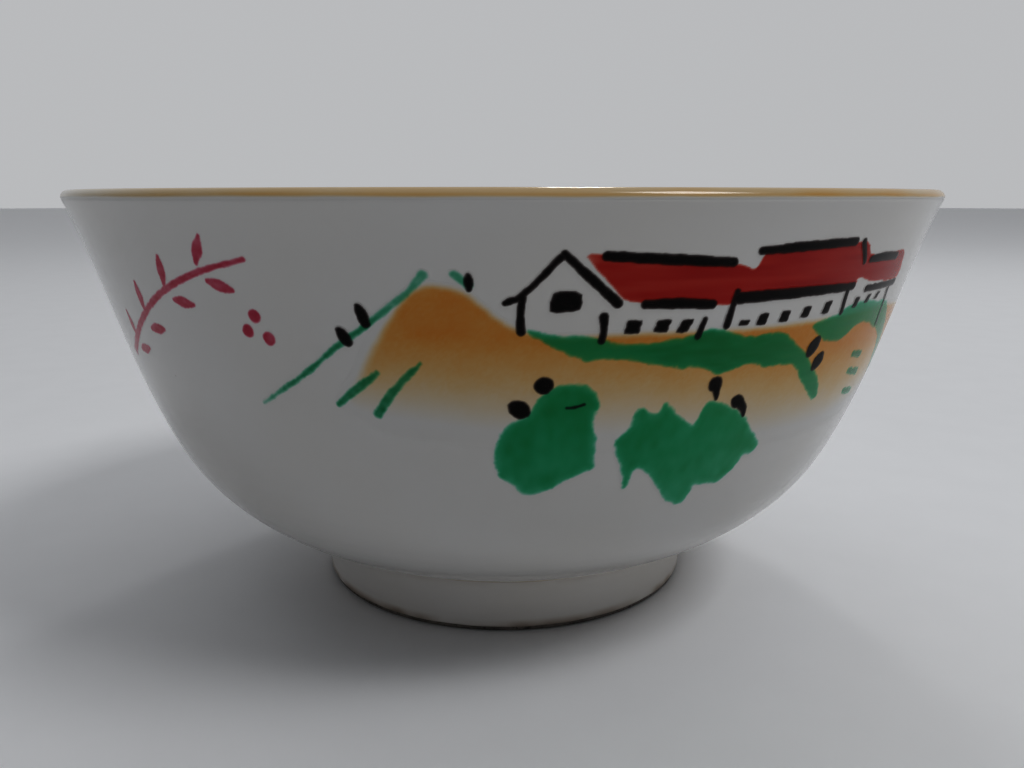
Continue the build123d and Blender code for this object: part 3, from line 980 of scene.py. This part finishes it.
def make_foot_glaze():
    """The coat outside the foot, with a rolled lower edge just above the standing face."""
    heights = np.linspace(seam_bottom, glaze_stop + 0.45, 24)
    face = np.column_stack([np.full(len(heights), foot_radius), heights])
    roll = [(foot_radius - 0.06, glaze_stop + 0.18), (foot_radius - 0.18, glaze_stop + 0.03)]
    back = [(foot_radius - glaze, glaze_stop), (foot_radius - glaze, seam_bottom)]
    section = np.concatenate([face, roll, back])

    def shift(turn, loop):
        low = np.clip((4 - loop[:, 1]) / 3, 0, 1)
        loop[:, 1] += 0.16 * low * wobble(fine_waves, turn) - 0.05 * low
        height = loop[:-2, 1]
        loop[:-2, 0] += 0.035 * np.sin(height * 2.3) * np.clip((seam_bottom - height) / 2, 0, 1) - 0.03
        return loop

    def wear_and_shade(turn, radius, height):
        # Greyed near the standing face, partly wear and partly painted contact shadow; faintly greyed
        # under the seam.
        worn_and_shaded = step_between(2.4, 0.9, height) * (0.5 + 0.5 * round_cloud(turn, 6, 9, 0, 81))
        thin = step_between(7.6, 8.9, height) * (0.45 + 0.55 * round_cloud(turn, 8, 9, 0, 82))
        amount = np.clip(1.8 * worn_and_shaded + 0.3 * thin, 0, 1.6)[:, None]
        return np.array(FOOT_WEAR_AND_SHADE) ** amount * FOOT_LIT_WHITE

    thing = lathe("foot_glaze_coat", section, 240, shift)
    stain(thing, wear_and_shade)
    sharpen(thing, 50)
    return finish_piece(thing, "foot_glaze", paint_material("lit_white_foot_glaze", 0.36, 0.46, 0.12, 0.35))


def make_foot_seam():
    """The rounded bead between foot and belly, browned in patches."""
    corner = seam_run[1] - (seam_run[0] - foot_radius) * math.tan(math.radians(belly_slope))
    t = np.linspace(0, 1, 12)[:, None]
    start = np.array((foot_radius, seam_bottom))
    middle = np.array((foot_radius, corner))
    end = np.array(seam_run)
    face = (1 - t) ** 2 * start + 2 * t * (1 - t) * middle + t * t * end
    inner_end = sunk(outside, glaze)[0]
    back = [inner_end, (foot_radius - glaze, foot_height), (foot_radius - glaze, seam_bottom)]
    section = np.concatenate([face, back])

    def shift(turn, loop):
        swell = 0.05 * wobble(fine_waves, turn + 2) * np.sin(np.pi * t[:, 0])
        loop[: len(t), 0] += swell
        loop[: len(t), 1] -= swell
        return loop

    def brown(turn, radius, height):
        patches = round_cloud(turn, 9, 9, 0, 91) + 0.6 * round_cloud(turn, 3, 9, 0, 92)
        side = 0.55 + 0.40 * np.clip(np.sin(turn - 0.1), 0, 1)
        ring = np.exp(-(((height - seam_bottom - 0.45) / 0.4) ** 2))
        amount = np.clip(side + 0.5 * patches, 0.1, 1.3) * ring
        return np.array(SEAM_BROWN) ** amount[:, None] * SEAM_WHITE

    thing = lathe("foot_seam_bead", section, 300, shift)
    stain(thing, brown)
    sharpen(thing, 60)
    return finish_piece(thing, "foot_seam", paint_material("seam_slip_gloss", 0.30, 0.42, 0.2, 0.35))


ring_out = foot_radius - glaze
ring_in_top, ring_in_low = ring_out - 4.5, ring_out - 3.8
bevel = 0.6


def make_foot_ring():
    """The turned clay ring, its lower edges rounded off."""
    corner = np.radians(np.linspace(0, 90, 6))
    outer = np.column_stack([ring_out - bevel + bevel * np.cos(corner), bevel - bevel * np.sin(corner)])
    inner = np.column_stack([ring_in_low + bevel - bevel * np.sin(corner), bevel - bevel * np.cos(corner)])
    sides = np.linspace(foot_height, 1.4, 6)
    section = np.concatenate([
        np.column_stack([np.full(6, ring_out), sides]), outer,
        np.column_stack([np.linspace(ring_out - bevel, ring_in_low + bevel, 7)[1:-1], np.zeros(5)]), inner,
        [(ring_in_top, foot_height)],
    ])
    thing = turned("foot_ring_clay", section, 240, 0.05)
    # Clay darkened to near black: partly dirt, partly painted contact shadow where the foot meets the
    # table.
    material = clay_material("dirty_foot_clay_and_shadow", (0.27, 0.245, 0.22), (0.13, 0.12, 0.11))
    return finish_piece(thing, "foot_ring", material)


def make_base_glaze():
    """Glaze inside the foot: a shallow dish that rolls over into the ring's inner wall."""
    recess = foot_height - glaze
    round_off = 1.2
    wall_top, wall_low = ring_in_top - glaze, ring_in_low - glaze
    flat = np.linspace(0, wall_top - round_off, 40)
    turn = np.radians(np.linspace(90, 0, 7))
    roll_radii = wall_top - round_off + round_off * np.cos(turn)
    roll_heights = recess - round_off + round_off * np.sin(turn)
    roll = np.column_stack([roll_radii, roll_heights])
    side_radii = np.linspace(wall_top, wall_low, 9)[1:]
    side_heights = np.linspace(recess - round_off, glaze_stop + 0.3, 9)[1:]
    side = np.column_stack([side_radii, side_heights])
    rings = 0.03 * np.sin(flat * 1.9) * np.clip(flat / 4, 0, 1)
    face = np.concatenate([np.column_stack([flat, recess + rings]), roll[1:], side])
    back = [(ring_in_low - 0.02, glaze_stop), (ring_in_top, foot_height), (0, foot_height)]

    def wear_and_shade(turn, radius, height):
        # Greyed towards the standing face, partly wear and partly painted shade; whitened as painted
        # light.
        return np.array(FOOT_WEAR_AND_SHADE) ** step_between(2.6, 0.9, height)[:, None] * FOOT_LIT_WHITE

    thing = turned("base_glaze_coat", np.concatenate([face, back]), 180, 0.0, 50)
    stain(thing, wear_and_shade)
    return finish_piece(thing, "base_glaze", paint_material("lit_white_base_glaze", 0.16, 0.3, 0.15))


make_lip_line()
make_foot_glaze()
make_foot_seam()
make_foot_ring()
make_base_glaze()
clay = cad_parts["bowl_body"]
clay.data.materials.clear()
clay.data.materials.append(clay_material("biscuit_clay", (0.66, 0.60, 0.50), (0.55, 0.47, 0.36)))

# ---------------------------------------------------------------- floor, light and camera
lip_z = cad_high[2]
FRONT_LIGHT = 0.12
BACK_LIGHT = 0.40
TOP_LIGHT = 0.28


def make_floor():
    """Wide, pale, nearly matt table top."""
    bpy.ops.mesh.primitive_circle_add(vertices=128, radius=6, fill_type="NGON", location=(0, 0, 0))
    ground = bpy.context.object
    ground.name = "studio_floor"
    n = Nodes("studio_floor")
    faint = n.span(n.noise(0.015, 3), 0.3, 0.7)
    n.join(n.mix(faint, (0.820, 0.828, 0.845), (0.835, 0.843, 0.860)), n.shader.inputs["Base Color"])
    n.shader.inputs["Roughness"].default_value = 0.55
    ground.data.materials.append(n.material)


def make_camera():
    """Close in front, level with the lip and tilted down to take in the foot."""
    distance, drop, pitch, pan = 0.168, 0.001, 12.2, 0.49
    camera = bpy.data.objects.new("camera", bpy.data.cameras.new("camera"))
    camera.data.lens = 30.5
    camera.data.sensor_width = 36
    camera.location = (0, -distance, lip_z - drop)
    camera.rotation_euler = (math.radians(90 - pitch), 0, math.radians(-pan))
    camera.data.clip_start = 0.005
    camera.data.clip_end = 50
    bpy.context.scene.collection.objects.link(camera)
    bpy.context.scene.camera = camera


def make_light(name, place, aim, size, power):
    """White rectangular lamp that points at a place."""
    lamp = bpy.data.lights.new(name, "AREA")
    lamp.shape = "RECTANGLE"
    lamp.size, lamp.size_y = size
    lamp.energy = power
    thing = bpy.data.objects.new(name, lamp)
    thing.location = place
    thing.rotation_euler = (Vector(aim) - Vector(place)).to_track_quat("-Z", "Y").to_euler()
    bpy.context.scene.collection.objects.link(thing)


def make_world():
    """Soft light from overhead, with a pale wall behind the bowl and a dimmer room in front."""
    world = bpy.data.worlds.new("studio")
    world.use_nodes = True
    tree = world.node_tree
    place = tree.nodes.new("ShaderNodeTexCoord")
    apart = tree.nodes.new("ShaderNodeSeparateXYZ")
    tree.links.new(place.outputs["Generated"], apart.inputs[0])

    def ramp(axis, low, high, to_low, to_high):
        span = tree.nodes.new("ShaderNodeMapRange")
        span.interpolation_type = "SMOOTHSTEP"
        span.inputs["From Min"].default_value = low
        span.inputs["From Max"].default_value = high
        span.inputs["To Min"].default_value = to_low
        span.inputs["To Max"].default_value = to_high
        tree.links.new(apart.outputs[axis], span.inputs["Value"])
        return span.outputs["Result"]

    total = tree.nodes.new("ShaderNodeMath")
    total.operation = "ADD"
    tree.links.new(ramp("Y", -0.1, 0.8, FRONT_LIGHT, BACK_LIGHT), total.inputs[0])
    tree.links.new(ramp("Z", 0.7, 0.98, 0, TOP_LIGHT), total.inputs[1])
    background = tree.nodes["Background"]
    background.inputs["Color"].default_value = (0.97, 0.98, 1.0, 1)
    tree.links.new(total.outputs[0], background.inputs["Strength"])
    bpy.context.scene.world = world


make_floor()
make_world()
make_light("overhead", (1.00, -0.55, 1.50), (0, 0, 0.03), (0.6, 0.6), 7.8)
make_light("pane", (0.12, 0.80, 0.72), (0, 0, 0.07), (0.11, 0.16), 0.55)
make_camera()
bpy.context.scene.view_settings.view_transform = "Standard"
bpy.context.scene.view_settings.look = "High Contrast"
